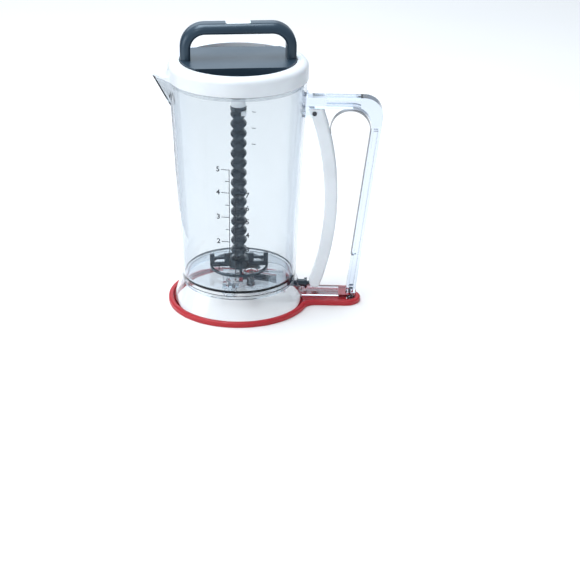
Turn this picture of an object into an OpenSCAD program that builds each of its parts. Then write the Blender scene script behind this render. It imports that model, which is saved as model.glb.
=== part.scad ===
// Batter dispenser: a clear jug with a D handle, a squeeze lever that pulls a floor valve open,
// a lift-off lid, and a twisted mixing rod that is turned by the arch handle on the lid.
// Millimetres, +Z up. The origin is on the jug's axis at the table; the handle points to +X.
// The lever and the valve stem are drawn released, with the valve shut.

/* [Jug] */
// Outer radius of the jug at its rim
rim_r = 59.2; // [54:0.2:64]
// Height of the rim above the table
rim_z = 207.5; // [190:0.5:225]
// Outer radius of the jug at its bottom edge
jug_foot_r = 50.8; // [47:0.2:54]
// Height of the jug's bottom edge above the table
jug_foot_z = 24; // [23:0.5:28]
// Wall thickness of the jug
jug_wall = 2.4; // [1.8:0.1:3.2]
// Thickness of the jug's floor
floor_t = 3; // [2:0.5:5]
// Depth of the ring under the floor that plugs into the skirt
spigot_h = 4; // [3:0.5:4.5]

/* [Spout] */
// Reach of the spout beyond the rim
spout_reach = 14.2; // [8:0.2:20]
// Height of the spout, from the rim down to where its ridge meets the wall
spout_drop = 28.3; // [18:0.5:40]

/* [Handle] */
// Width of the handle across the hand
handle_w = 12; // [10:0.5:16]
// Height of the handle's top arm
arm_h = 10; // [8:0.5:13]
// Drop from the rim to the top of the arm
arm_drop = 15.5; // [12:0.5:22]
// Distance from the jug's axis to the middle of the outer corner
corner_x = 108.2; // [100:0.2:118]
// Outer radius of the handle's top corner
corner_r = 16; // [12:0.5:20]
// Inner radius of the handle's top corner
inner_corner_r = 16.5; // [12:0.5:20]
// Thickness of the grip, seen from the side
grip_t = 8.2; // [7:0.2:11]
// Lean of the grip away from upright, in degrees
grip_lean = 6.87; // [5:0.1:9]
// Thickness of the flanges round the handle's side pockets
handle_rim_t = 2.2; // [1.6:0.1:3]
// Thickness of the web between the side pockets
handle_web_t = 3.4; // [2:0.2:5]

/* [Base] */
// Outer radius of the foot ring
ring_r = 63.4; // [60:0.2:68]
// Height of the foot ring
ring_h = 4.7; // [4:0.1:6]
// Width of the foot ring's top lip
ring_lip = 3.8; // [3:0.1:5]
// Thickness of the foot ring under the flange
ring_pad_t = 1.2; // [0.8:0.1:1.6]
// Half the width of the foot ring's straight arm
arm_half = 13.8; // [12:0.2:16]
// Radius of the inside corners between the ring and its arm
arm_fillet = 10; // [6:1:16]
// Wall thickness of the skirt
skirt_wall = 2.2; // [1.8:0.1:3]
// Height of the clear bar that carries the grip
bar_top_z = 9.5; // [9:0.1:12]

/* [Trigger] */
// Distance from the jug's axis to the lever's pivot
pivot_x = 65.5; // [64:0.1:68]
// Drop from the underside of the arm to the pivot
pivot_drop = 4.3; // [4.1:0.1:5]
// Radius of the pivot pin
pin_r = 2; // [1.5:0.1:2.4]
// Radius of both curved edges of the lever
lever_bow_r = 248.6; // [220:1:280]
// Thickness of the lever at its middle, seen from the side
lever_t = 11.2; // [10:0.2:13]
// Width of the lever across the hand
lever_w = 14; // [13:0.5:17]
// Wall thickness of the lever
lever_wall = 2; // [1.6:0.1:2.6]
// Radius of the lever's rounded edges
lever_edge_r = 2.6; // [1:0.1:3.4]
// Travel of the valve stem when the lever is squeezed
stem_travel = 8; // [6:0.5:9]
// Thickness of the spring strip
strip_t = 0.8; // [0.6:0.1:1.2]
// Width of the spring strip
strip_w = 6; // [4:0.5:8]

/* [Valve] */
// Height of the valve stem above the table
stem_z = 16; // [15.5:0.1:17]
// Radius of the valve stem
stem_r = 3.3; // [2.6:0.1:3.8]
// Radius of the valve chamber
chamber_r = 7; // [6.5:0.1:7.5]
// Wall thickness of the valve housing
housing_wall = 2.2; // [1.6:0.1:2.6]
// Distance from the jug's axis to the outlet, towards the spout
outlet_x = 8; // [6:0.5:10]
// Radius of the outlet
outlet_r = 4; // [3:0.1:4.6]
// Distance from the jug's axis to the inlet, towards the handle
inlet_x = 11; // [10:0.5:14]
// Radius of the inlet
inlet_r = 5; // [4:0.1:5.6]
// Distance from the jug's axis to the mouth of the valve housing
housing_end_x = 40; // [36:0.5:42]

/* [Lid] */
// How far the lid stands out beyond the rim
lid_step = 0.8; // [0.4:0.1:3]
// Height of the lid above the rim
lid_h = 15.5; // [13:0.5:19]
// Width of the lid's top, from its outer edge to the round well
lid_band = 9.6; // [8.5:0.1:12]
// Thickness of the lid's walls
lid_wall = 2.2; // [1.6:0.1:2.8]
// Radius of the lid's rounded top edge
lid_edge_r = 5.5; // [3:0.1:7]
// Radius of the hollow curve that leads from the beak up to the lid's side
beak_curve_r = 6; // [3:0.5:8]
// Thickness of the beak over the spout
beak_t = 1.8; // [1.2:0.1:2.6]

/* [Mixer] */
// Radial gap between the turning disc and the well
disc_gap = 0.5; // [0.3:0.1:1]
// Height of the disc's raised bar above the lid
bar_rise = 1.4; // [0.5:0.1:4]
// Half the width of the disc's raised bar
bar_half = 32; // [24:1:36]
// Height of the arch above the lid
arch_rise = 32.1; // [28:0.1:44]
// Thickness of the arch
arch_t = 8.6; // [7:0.1:11]
// Depth of the arch from front to back
arch_w = 19; // [16:0.5:20]
// Outer radius of the arch's corners
arch_corner_r = 21; // [17:0.5:24]
// Radius of the arch's rounded outer edges
arch_edge_r = 6.2; // [3:0.1:7]
// Turn of the arch handle, in degrees
arch_turn = 7; // [-45:1:45]
// Radius of the hub that turns in the lid
hub_r = 6; // [5:0.1:7]
// Radius of the mixing rod over its twisted edges
rod_r = 7.1; // [6:0.1:8.5]
// Length of one full twist of the mixing rod
rod_lead = 34; // [24:1:50]
// Radius of the mixing paddle
paddle_r = 26; // [22:1:36]

/* [Hidden] */
$fn = 96;
clear = 0.06;      // radial clearance of a turning or sliding fit
gap = 0.3;         // gap between pieces that pass each other
over = 1;          // how far a cut runs past the face it opens
crossing = 0.04;   // lets two arcs cross where they would only touch

// jug
floor_z = jug_foot_z + 2;
floor_top_z = floor_z + floor_t;
spigot_r = jug_foot_r - skirt_wall - 0.1;
function jug_r(z) = jug_foot_r + (rim_r - jug_foot_r) * (z - jug_foot_z) / (rim_z - jug_foot_z);

// spout
spout_half = asin(0.97 * rim_r / (rim_r + spout_reach));
spout_foot_x = jug_r(rim_z - spout_drop);
spout_lean = atan((rim_r + spout_reach - spout_foot_x) / spout_drop);
spout_root_x = rim_r * cos(90 - spout_half) - 1.5;

// handle
arm_top_z = rim_z - arm_drop;
arm_z = arm_top_z - arm_h;
corner_z = arm_top_z - corner_r;
screw_seat_z = ring_pad_t + 2;
foot_tenon_z = screw_seat_z + 1.6;
function grip_x(z, depth = 0) =
    corner_x + (corner_r - depth) / cos(grip_lean) + (z - corner_z) * tan(grip_lean);
pocket_end_x = 104.9 - 108.2 + corner_x;

// lever and stem
pivot_z = arm_z - pivot_drop;
pull = 2 * asin(stem_travel / 2 / (pivot_z - stem_z));
bow_z = pivot_z - 89.7;             // height of the centre of the lever's outer edge, lever squeezed
head_back = 8.75;                   // from the pivot to the outer edge at the lever's head
bow_x = pivot_x + head_back - sqrt(pow(lever_bow_r, 2) - pow(pivot_z - bow_z, 2));
taper = 3.4;
lever_top_z = arm_z - 0.7;
lever_foot_r = 4.9;
lever_foot_z = stem_z + 3;
function front_x(z) = bow_x - lever_t + sqrt(pow(lever_bow_r, 2) - pow(z - bow_z + taper, 2));
function back_x(z) = bow_x + sqrt(pow(lever_bow_r, 2) - pow(z - bow_z, 2));
lug_w = lever_w - 2 * lever_wall - 2 * gap;
collar_r = 4.75;
collar_t = 2.4;
neck_r = 1.9;
knob_r = 4;
neck_len = 4.8;
fork_x = front_x(stem_z) + lever_wall / 2 - stem_travel;
collar_x = fork_x - 2.1 - collar_t;

// spring strip
strip_gap = 0.05;
coil_r = 17.2;
coil_z = arm_z - 19.6;
coil_x = grip_x(coil_z, grip_t) - (coil_r + strip_t / 2 + strip_gap) / cos(grip_lean);
strip_end_z = 46;
seat_face_x = coil_x - coil_r - strip_t / 2 - gap;

// base
skirt_top_z = jug_foot_z;
flange_z = ring_pad_t;
flange_t = ring_h - 1.6 - ring_pad_t;
ring_wall = 1.9;
ring_pad_w = 7;                      // width of the pad that the skirt stands on
skirt_low_r = ring_r - ring_lip - 0.5;
bar_w2 = arm_half - ring_lip - 0.1;
bar_rib_t = 1.6;
channel_w = (2 * bar_w2 - 4 * bar_rib_t) / 3;
arm_end_x = grip_x(bar_top_z) - bar_w2 + 1.3;

// valve
housing_r = chamber_r + housing_wall;
housing_top_z = floor_z - 0.8;
seat_x = -outlet_x + outlet_r + 1;
seat_t = 2.4;
seat_r = stem_r + 0.6;
plug_x = seat_x + seat_t + gap;
gland_t = 6;

// lid
lid_r = rim_r + lid_step;
well_r = lid_r - lid_band;
lid_top_z = rim_z + lid_h;
well_z = rim_z + 4.5;
gasket_r = jug_r(rim_z) - jug_wall - 0.45;
rib_r = gasket_r - 1.1;
hub_low_z = rim_z - 18.5;
hub_collar_z = rim_z - 3;
bore_r = hub_r - 2.5;
bore_h = well_z - hub_low_z - 6;

// mixer
disc_r = well_r - disc_gap;
disc_z = well_z + 0.4;
disc_low_z = lid_top_z - 6.7;
bar_z = lid_top_z + bar_rise;
disc_t = 2.4;
arch_top_z = lid_top_z + arch_rise;
arch_x = disc_r - 0.5;
spindle_low_z = rim_z - 25.8;
rod_flange_t = 3.1;
rod_low_z = floor_top_z + 7;
socket_r = 4;
socket_z = spindle_low_z - 14;

clear_tint = [0.86, 0.91, 0.95, 0.35];
white_tint = [0.92, 0.93, 0.94];
slate_tint = [0.24, 0.29, 0.34];
red_tint = [0.74, 0.12, 0.16];
steel_tint = [0.62, 0.62, 0.64];

// ---- shared shapes ----

// A flat outline drawn in X and Z, given a width along Y
module across(w) {
    rotate([90, 0, 0]) linear_extrude(height = w, center = true) children();
}

module tube(r_out, r_in, h) {
    difference() {
        cylinder(h = h, r = r_out);
        translate([0, 0, -over]) cylinder(h = h + 2 * over, r = r_in);
    }
}

// A rod along +X that starts at x
module rod_x(x, length, r) {
    translate([x, 0, stem_z]) rotate([0, 90, 0]) cylinder(h = length, r = r);
}

// The section of a disc's edge with both corners rounded, for turning
module round_edge(r_in, r_out, w, edge) {
    translate([r_in, -w / 2]) square([r_out - r_in - edge, w]);
    translate([r_in, edge - w / 2]) square([r_out - r_in, w - 2 * edge]);
    for (side = [-1, 1]) translate([r_out - edge, side * (w / 2 - edge)]) circle(edge);
}

// ---- jug ----

// The wedge whose edge is the spout's ridge, moved inwards by inset
module spout_wedge(inset, top) {
    side = spout_root_x * 2;
    spread = atan(tan(spout_half) / cos(spout_lean));
    intersection() {
        translate([inset - rim_r - spout_reach, 0, rim_z]) rotate([0, -spout_lean, 0])
            translate([0, 0, -spout_drop * 2]) linear_extrude(height = spout_drop * 3)
                polygon([[0, 0], [side, side * tan(spread)], [side, -side * tan(spread)]]);
        translate([-2 * rim_r, -rim_r, rim_z - spout_drop - 8])
            cube([2 * rim_r - spout_root_x, 2 * rim_r, spout_drop + 8 + top]);
    }
}

module jug_body() color(clear_tint) {
    inner_low_r = jug_r(floor_top_z) - jug_wall;
    inner_top_r = jug_r(rim_z + over) - jug_wall;
    difference() {
        union() {
            translate([0, 0, jug_foot_z])
                cylinder(h = rim_z - jug_foot_z, r1 = jug_foot_r, r2 = rim_r);
            translate([0, 0, jug_foot_z - spigot_h]) cylinder(h = spigot_h + over, r = spigot_r);
            spout_wedge(0, 0);
            for (side = [-1, 1]) translate([inlet_x, side * screw_y, housing_lug_z])
                cylinder(h = floor_z - housing_lug_z + over, r = 3);
        }
        translate([0, 0, floor_top_z])
            cylinder(h = rim_z + over - floor_top_z, r1 = inner_low_r, r2 = inner_top_r);
        spout_wedge(jug_wall / sin(spout_half), over);
        difference() {
            translate([0, 0, jug_foot_z - spigot_h - over])
                cylinder(h = floor_z - jug_foot_z + spigot_h + over, r = spigot_r - jug_wall);
            for (side = [-1, 1]) translate([inlet_x, side * screw_y, housing_lug_z])
                cylinder(h = floor_z, r = 3);
        }
        translate([inlet_x, 0, floor_z - over]) cylinder(h = floor_t + 2 * over, r = inlet_r);
        translate([inlet_x, 0, floor_top_z - 1.5])
            cylinder(h = 3, r1 = inlet_r, r2 = inlet_r + 10);
        for (side = [-1, 1]) translate([inlet_x, side * screw_y, housing_lug_z - over])
            cylinder(h = screw_len, r = 1.1);
    }
}

// The handle's side view, every edge drawn in by inset
module handle_outline(inset) {
    low = -20;
    outer = corner_r - inset;
    inner = inner_corner_r + inset;
    inner_z = arm_z - inner_corner_r;
    inner_x = grip_x(inner_z, grip_t) - inner_corner_r / cos(grip_lean);
    difference() {
        union() {
            polygon([[0, low], [grip_x(low, inset), low],
                [corner_x + outer * cos(grip_lean), corner_z - outer * sin(grip_lean)],
                [corner_x, arm_top_z - inset], [0, arm_top_z - inset]]);
            translate([corner_x, corner_z]) circle(outer);
        }
        polygon([[-over, low - over], [grip_x(low - over, grip_t - inset), low - over],
            [inner_x + inner * cos(grip_lean), inner_z - inner * sin(grip_lean)],
            [inner_x, arm_z + inset], [-over, arm_z + inset]]);
        translate([inner_x, inner_z]) circle(inner);
    }
}

module handle_pockets() {
    depth = (handle_w - handle_web_t) / 2;
    for (side = [-1, 1]) translate([0, side * (handle_w - depth) / 2, 0])
        intersection() {
            across(depth + 0.01) handle_outline(handle_rim_t);
            union() {
                translate([pivot_x + 10, -handle_w, arm_z])
                    cube([pocket_end_x - pivot_x - 10, 2 * handle_w, arm_h]);
                translate([grip_x(0, grip_t), -handle_w, bar_top_z + 4])
                    cube([60, 2 * handle_w, coil_z - bar_top_z - 4]);
            }
        }
}

module jug_handle() color(clear_tint) {
    tenon = 1.4;
    difference() {
        union() {
            intersection() {
                across(handle_w) handle_outline(0);
                translate([0, -handle_w, bar_top_z]) cube([200, 2 * handle_w, arm_top_z]);
            }
            // the tenon that stands in the bar's socket
            intersection() {
                across(handle_w - 2 * tenon) handle_outline(tenon);
                translate([0, -handle_w, foot_tenon_z])
                    cube([200, 2 * handle_w, bar_top_z - foot_tenon_z + over]);
            }
            // the root pad that spreads the arm over the wall
            translate([0, -handle_w / 2 - 3, arm_z - 2])
                cube([pivot_x - 5.7, handle_w + 6, arm_h + 4]);
            // the lug that holds the lever's pin
            translate([0, -lug_w / 2, pivot_z - 4.4]) cube([pivot_x, lug_w, arm_z - pivot_z + 5]);
            translate([pivot_x, 0, pivot_z]) rotate([90, 0, 0])
                cylinder(h = lug_w, r = 4.2, center = true);
        }
        translate([0, 0, jug_foot_z])
            cylinder(h = rim_z - jug_foot_z, r1 = jug_foot_r, r2 = rim_r);
        handle_pockets();
        translate([pivot_x, 0, pivot_z]) rotate([90, 0, 0])
            cylinder(h = handle_w * 2, r = pin_r, center = true);
        // the slot that the spring strip hooks into
        translate([grip_x(strip_end_z, grip_t), 0, strip_end_z])
            cube([8, strip_w + 0.4, strip_t + 0.4], center = true);
        // the hole for the screw that comes up through the bar
        translate([tenon_x, 0, 0]) cylinder(h = foot_tenon_z + 8, r = 1.2);
    }
}
tenon_x = grip_x(foot_tenon_z, grip_t / 2);

// ---- base ----

module slab(z, h) {
    translate([0, 0, z]) linear_extrude(height = h) children();
}

// A keyhole-shaped plate, every edge drawn in by inset: a disc with an arm that ends round
module keyhole(z, h, inset) {
    mid_y = arm_half + arm_fillet;
    mid_x = sqrt(pow(ring_r + arm_fillet, 2) - pow(mid_y, 2));
    half = arm_half - inset;
    union() {
        slab(z, h) circle(ring_r - inset);
        slab(z, h) translate([0, -half]) square([arm_end_x, 2 * half]);
        slab(z, h) translate([arm_end_x, 0]) circle(half);
        slab(z, h) difference() {
            polygon([[0, 0], [mid_x, mid_y], [mid_x, -mid_y]]);
            for (side = [-1, 1]) translate([mid_x, side * mid_y])
                circle(arm_fillet + inset + crossing);
        }
    }
}

module foot_ring() color(red_tint) {
    difference() {
        keyhole(0, ring_h, 0);
        translate([0, 0, -over]) cylinder(h = ring_h + 2 * over, r = ring_r - ring_pad_w);
        keyhole(flange_z, flange_t, ring_wall);
        keyhole(flange_z + flange_t / 2, ring_h, ring_lip);
    }
}

module base_skirt() color(clear_tint) {
    low_z = flange_z + flange_t;
    hollow_r = skirt_low_r - skirt_wall;
    slope = (skirt_low_r - jug_foot_r) / (skirt_top_z - low_z);
    difference() {
        union() {
            keyhole(flange_z, flange_t, ring_wall);
            translate([0, 0, low_z])
                cylinder(h = skirt_top_z - low_z, r1 = skirt_low_r, r2 = jug_foot_r);
            slab(flange_z, bar_top_z - flange_z) {
                translate([45, -bar_w2]) square([arm_end_x - 45, 2 * bar_w2]);
                translate([arm_end_x, 0]) circle(bar_w2);
            }
        }
        // the hollow under the cone
        rotate_extrude() polygon([[0, -over], [hollow_r, -over], [hollow_r, low_z],
            [jug_foot_r - skirt_wall - slope * over, skirt_top_z + over], [0, skirt_top_z + over]]);
        // three channels run along the bar and open downwards
        for (i = [-1 : 1])
            translate([skirt_low_r - 3, i * (channel_w + bar_rib_t) - channel_w / 2, 0])
                cube([tenon_x - 7 - skirt_low_r, channel_w, bar_top_z - 2]);
        // the socket for the grip's tenon
        intersection() {
            across(handle_w - 2.8 + 0.2) handle_outline(1.3);
            translate([0, -handle_w, foot_tenon_z]) cube([200, 2 * handle_w, bar_top_z]);
        }
        translate([tenon_x, 0, 0]) cylinder(h = bar_top_z, r = 1.6);
        translate([tenon_x, 0, 0]) cylinder(h = screw_seat_z, r = 3.2);
        // the way out for the valve stem
        rod_x(40, 30, stem_r + 0.7);
    }
}

// ---- valve ----

screw_y = housing_r + 4;
housing_lug_z = housing_top_z - 6;
screw_len = 9;

module valve_housing() color(clear_tint) {
    back_x = -outlet_x - outlet_r - 3;
    difference() {
        union() {
            rod_x(back_x, housing_end_x - back_x, housing_r);
            translate([inlet_x, 0, stem_z])
                cylinder(h = housing_top_z - stem_z, r = inlet_r + 2);
            translate([-outlet_x, 0, 3]) cylinder(h = stem_z - 3, r = outlet_r + 1.8);
            // the two ears that are screwed to the floor's bosses
            slab(housing_lug_z - 3, 3) difference() {
                for (side = [-1, 1]) {
                    translate([inlet_x, side * screw_y]) circle(4);
                    translate([inlet_x - 4, side > 0 ? 0 : -screw_y]) square([8, screw_y]);
                }
            }
        }
        rod_x(seat_x + seat_t, housing_end_x + 5, chamber_r);
        rod_x(seat_x - over, 10, seat_r);
        rod_x(-outlet_x - outlet_r, outlet_x + outlet_r + seat_x, outlet_r);
        translate([-outlet_x, 0, 2]) cylinder(h = stem_z - 2, r = outlet_r);
        translate([inlet_x, 0, stem_z]) cylinder(h = 20, r = inlet_r);
        for (side = [-1, 1]) translate([inlet_x, side * screw_y, 0]) cylinder(h = 30, r = 1.6);
    }
}

module valve_gasket() color(red_tint) {
    translate([inlet_x, 0, housing_top_z]) tube(inlet_r + 2, inlet_r, floor_z - housing_top_z);
}

module gland_cap() color(white_tint) {
    difference() {
        union() {
            rod_x(housing_end_x - gland_t, gland_t + over, chamber_r - 0.1);
            rod_x(housing_end_x, 2, housing_r);
        }
        rod_x(0, 60, stem_r + clear);
        rod_x(housing_end_x - gland_t - over, 3 + over, stem_r + 1.9);
    }
}

module stem_seal() color(slate_tint) {
    translate([housing_end_x - gland_t + 1.5, 0, stem_z]) rotate([0, 90, 0])
        rotate_extrude() translate([stem_r + clear + 0.9, 0]) circle(0.9);
}

// A pan-head screw that points up from z
module screw_up(length, r, head_r) {
    translate([0, 0, -1.8]) cylinder(h = 1.8, r = head_r);
    cylinder(h = length, r = r);
}

module housing_screws() color(steel_tint) {
    for (side = [-1, 1]) translate([inlet_x, side * screw_y, housing_lug_z - 3])
        screw_up(screw_len + 1, 1.1, 2.8);
}

module handle_screw() color(steel_tint) {
    translate([tenon_x, 0, screw_seat_z]) screw_up(screw_len, 1.2, 2.8);
}

module valve_stem() color(slate_tint) {
    difference() {
        union() {
            rod_x(plug_x + 3, collar_x - plug_x - 3, stem_r);
            rod_x(collar_x, collar_t, collar_r);
            rod_x(collar_x + collar_t, neck_len, neck_r);
            rod_x(collar_x + collar_t + neck_len, 3, knob_r);
        }
        rod_x(plug_x + 3 - over, 2.5 + over, 1.5);
    }
}

module valve_plug() color(red_tint) {
    translate([plug_x, 0, stem_z]) rotate([0, 90, 0])
        cylinder(h = 3, r1 = seat_r + 0.6, r2 = seat_r + 1.6);
    rod_x(plug_x + 3, 2.5, 1.5);
}

// ---- lever, pin and spring ----

// The lever as it stands when squeezed; trigger_lever turns it back to rest
module lever_blank() {
    low = 260;
    union() {
        intersection() {
            translate([bow_x, 0, bow_z]) rotate([90, 0, 0])
                rotate_extrude($fn = 180) round_edge(low - 60, lever_bow_r, lever_w, lever_edge_r);
            translate([bow_x - lever_t, 0, bow_z - taper]) rotate([90, 0, 0])
                rotate_extrude($fn = 180) translate([2 * lever_bow_r + 60, 0]) mirror([1, 0])
                    round_edge(lever_bow_r, lever_bow_r + 60, lever_w, lever_edge_r);
            translate([40, -lever_w, lever_foot_z])
                cube([80, 2 * lever_w, lever_top_z - lever_foot_z]);
        }
        translate([(front_x(lever_foot_z) + back_x(lever_foot_z)) / 2, 0, lever_foot_z])
            rotate([90, 0, 0]) rotate_extrude()
                round_edge(0, lever_foot_r, lever_w, min(lever_edge_r, lever_foot_r * 0.45));
    }
}

module lever_squeezed() {
    inside_w = lever_w - 2 * lever_wall;
    rib_count = 5;
    rib_low_z = stem_z + 16;
    rib_step = 22;
    difference() {
        lever_blank();
        // the channel, open towards the grip and at its foot
        difference() {
            translate([bow_x - lever_t, 0, bow_z - taper]) rotate([90, 0, 0])
                rotate_extrude($fn = 180) translate([lever_bow_r + lever_wall, -inside_w / 2])
                    square([60, inside_w]);
            for (i = [0 : rib_count - 1]) translate([40, -lever_w, rib_low_z + i * rib_step])
                cube([80, 2 * lever_w, 1.6]);
            translate([40, -lever_w, coil_z - 10]) cube([seat_squeezed_x - 40, 2 * lever_w, 12]);
        }
        // room for the lug at the head
        translate([40, -inside_w / 2, pivot_z - 7]) cube([60, inside_w, 30]);
        // the fork that straddles the stem's neck
        translate([40, -neck_r - 0.4, 0]) cube([60, 2 * neck_r + 0.8, stem_z + neck_r + 0.6]);
        translate([pivot_x, 0, pivot_z]) rotate([90, 0, 0])
            cylinder(h = lever_w * 2, r = pin_r + clear, center = true);
    }
}
seat_squeezed_x = seat_face_x + (pivot_z - coil_z + 4) * sin(pull);

module at_rest() {
    translate([pivot_x, 0, pivot_z]) rotate([0, pull, 0]) translate([-pivot_x, 0, -pivot_z])
        children();
}

module trigger_lever() color(white_tint) at_rest() lever_squeezed();

module pivot_pin() color(steel_tint) {
    translate([pivot_x, 0, pivot_z]) rotate([90, 0, 0])
        cylinder(h = lever_w + 0.6, r = pin_r, center = true);
}

// A steel strip: a bow over the top of the grip and a straight leg down its inner face
module return_spring() color(steel_tint) {
    leg_x = coil_x + coil_r * cos(grip_lean);
    leg_z = coil_z - coil_r * sin(grip_lean);
    leg_len = (leg_z - strip_end_z) / cos(grip_lean);
    across(strip_w) difference() {
        translate([coil_x, coil_z]) circle(coil_r + strip_t / 2);
        translate([coil_x, coil_z]) circle(coil_r - strip_t / 2);
        polygon([[coil_x, coil_z], [coil_x - 40, coil_z - 9], [coil_x - 40, coil_z - 60],
            [coil_x + 40, coil_z - 60],
            [coil_x + 40 * cos(grip_lean), coil_z - 40 * sin(grip_lean)]]);
    }
    translate([leg_x, 0, leg_z]) rotate([0, grip_lean, 0]) {
        translate([-strip_t / 2, -strip_w / 2, -leg_len]) cube([strip_t, strip_w, leg_len]);
        translate([-strip_t / 2, -strip_w / 2, -leg_len]) cube([3.2, strip_w, strip_t]);
    }
}

// ---- lid ----

// The spout's plan at the rim
module beak_outline() {
    tip_x = -rim_r - spout_reach;
    side_y = (rim_r + spout_reach - spout_root_x) * tan(spout_half);
    polygon([[tip_x, 0], [-spout_root_x, side_y], [-spout_root_x, -side_y]]);
}

// The section of the lid's rim, with its outer top corner rounded, drawn in by inset
module rim_block(inset) {
    corner_x = lid_r - lid_edge_r;
    low = rim_z - (inset > 0 ? over : 0);
    translate([well_r + inset, low]) square([corner_x - well_r - inset, lid_top_z - inset - low]);
    translate([well_r + inset, low])
        square([lid_r - well_r - 2 * inset, lid_top_z - lid_edge_r - low]);
    translate([corner_x, lid_top_z - lid_edge_r]) circle(lid_edge_r - inset);
}

module lid_ring() color(white_tint) {
    rib_z = rim_z - 1.6;
    difference() {
        union() {
            rotate_extrude() {
                // the rim: outer wall, rounded top and the well's wall, hollow from below
                difference() {
                    rim_block(0);
                    rim_block(lid_wall);
                }
                // the well's floor
                translate([hub_r + clear, well_z - lid_wall])
                    square([well_r + lid_wall - hub_r - clear, lid_wall]);
                // the rib that carries the gasket and the web that stiffens it
                translate([rib_r - 2.2, rib_z]) square([2.2, well_z - lid_wall - rib_z + 0.5]);
                translate([well_r, well_z - lid_wall]) square([lid_r - lid_wall - well_r + 0.2, 1.4]);
                // the bearing for the hub
                translate([hub_r + clear, hub_collar_z]) square([2.6, well_z - hub_collar_z]);
            }
            // the beak that covers the spout, with a hollow curve up to the lid's side
            slab(rim_z, beak_t) beak_outline();
            intersection() {
                slab(rim_z, beak_t + beak_curve_r) beak_outline();
                rotate_extrude() difference() {
                    translate([lid_r - 1.5, rim_z])
                        square([beak_curve_r + 1, beak_t + beak_curve_r]);
                    translate([lid_r + beak_curve_r, rim_z + beak_t + beak_curve_r])
                        circle(beak_curve_r);
                }
            }
        }
        translate([0, 0, rim_z - 5]) cylinder(h = 5 + beak_t + 0.4, r = rib_r - 2.3);
        translate([0, 0, well_z - 0.001]) cylinder(h = 30, r = well_r);
        translate([0, 0, 0]) cylinder(h = 300, r = hub_r + clear);
    }
}

module lid_gasket() color(clear_tint) {
    rotate_extrude() {
        translate([rib_r, rim_z - 4.2]) square([0.8, 4]);
        for (z = [rim_z - 3.4, rim_z - 1.6]) translate([rib_r + 0.5, z - 0.5])
            square([gasket_r - rib_r - 0.5, 1]);
    }
}

// ---- mixer ----

// The arch's section: x is its thickness, outwards, and y its depth
module arch_section() {
    chamfer = 1.6;
    edge = min(arch_edge_r, arch_t - chamfer - 0.4);
    polygon([[0, -arch_w / 2 + chamfer], [chamfer, -arch_w / 2], [arch_t - edge, -arch_w / 2],
        [arch_t - edge, arch_w / 2], [chamfer, arch_w / 2], [0, arch_w / 2 - chamfer]]);
    translate([arch_t - edge - 0.1, edge - arch_w / 2]) square([edge + 0.1, arch_w - 2 * edge]);
    intersection() {
        for (side = [-1, 1]) translate([arch_t - edge, side * (arch_w / 2 - edge)]) circle(edge);
        translate([arch_t - edge - 0.1, -arch_w / 2]) square([edge + 0.1, arch_w]);
    }
}

module arch() {
    corner_cx = arch_x - arch_corner_r;
    corner_cz = arch_top_z - arch_corner_r;
    inner_r = arch_corner_r - arch_t;
    for (side = [0, 1]) mirror([side, 0, 0]) {
        // leg
        translate([corner_cx + inner_r, 0, disc_low_z - 1]) linear_extrude(height = corner_cz - disc_low_z + 1)
            arch_section();
        // corner
        translate([corner_cx, 0, corner_cz]) rotate([90, 0, 0]) rotate_extrude(angle = 90)
            translate([inner_r, 0]) arch_section();
        // half of the top bar
        translate([0, 0, corner_cz]) rotate([90, 0, 90]) linear_extrude(height = corner_cx)
            rotate(90) translate([inner_r, 0]) arch_section();
    }
}

module mixer_handle() color(slate_tint) rotate([0, 0, arch_turn]) {
    inside_r = disc_r - disc_t;
    difference() {
        union() {
            translate([0, 0, disc_z]) cylinder(h = disc_low_z - disc_z, r = disc_r);
            intersection() {
                translate([0, 0, disc_z]) cylinder(h = bar_z - disc_z, r = disc_r);
                translate([-disc_r, -bar_half, disc_z]) cube([2 * disc_r, 2 * bar_half, 30]);
            }
            arch();
        }
        // the hollow underneath
        translate([0, 0, disc_z - over]) cylinder(h = disc_low_z - disc_z - disc_t + over, r = inside_r);
        intersection() {
            cylinder(h = bar_z - disc_t, r = inside_r - 7);
            translate([-disc_r, disc_t - bar_half, 0])
                cube([2 * disc_r, 2 * (bar_half - disc_t), bar_z]);
        }
        inlay_block(0.05);
    }
    difference() {
        union() {
            translate([0, 0, hub_low_z]) cylinder(h = bar_z - hub_low_z - 1, r = hub_r);
            translate([0, 0, well_z]) cylinder(h = bar_z - well_z - 1, r = hub_r + 4);
            for (a = [0 : 60 : 300]) rotate([0, 0, a]) translate([0, -0.9, disc_z])
                cube([inside_r - 8, 1.8, disc_low_z - disc_z]);
        }
        translate([0, 0, hub_low_z - over]) cylinder(h = bore_h + over, r = bore_r);
        translate([0, 0, clip_z]) tube(hub_r + over, hub_r - 1, clip_t);
    }
}

clip_t = 1.2;
clip_z = hub_collar_z - gap - clip_t;

module inlay_block(grow) {
    translate([0, 0, arch_top_z - 0.8]) linear_extrude(height = 2) {
        square([17 + 2 * grow, 10.4 + 2 * grow], center = true);
        square([21 + 2 * grow, 6.4 + 2 * grow], center = true);
        for (x = [-8.5, 8.5], y = [-3.2, 3.2]) translate([x, y]) circle(2 + grow);
    }
}

module handle_inlay() color(white_tint) rotate([0, 0, arch_turn]) intersection() {
    inlay_block(0);
    translate([-20, -20, 0]) cube([40, 40, arch_top_z]);
}

module hub_clip() color(steel_tint) {
    translate([0, 0, clip_z]) difference() {
        tube(hub_r + 3, hub_r - 1, clip_t);
        rotate([0, 0, 20]) translate([0, -2.5, -over]) cube([20, 5, 4]);
    }
}

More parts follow.
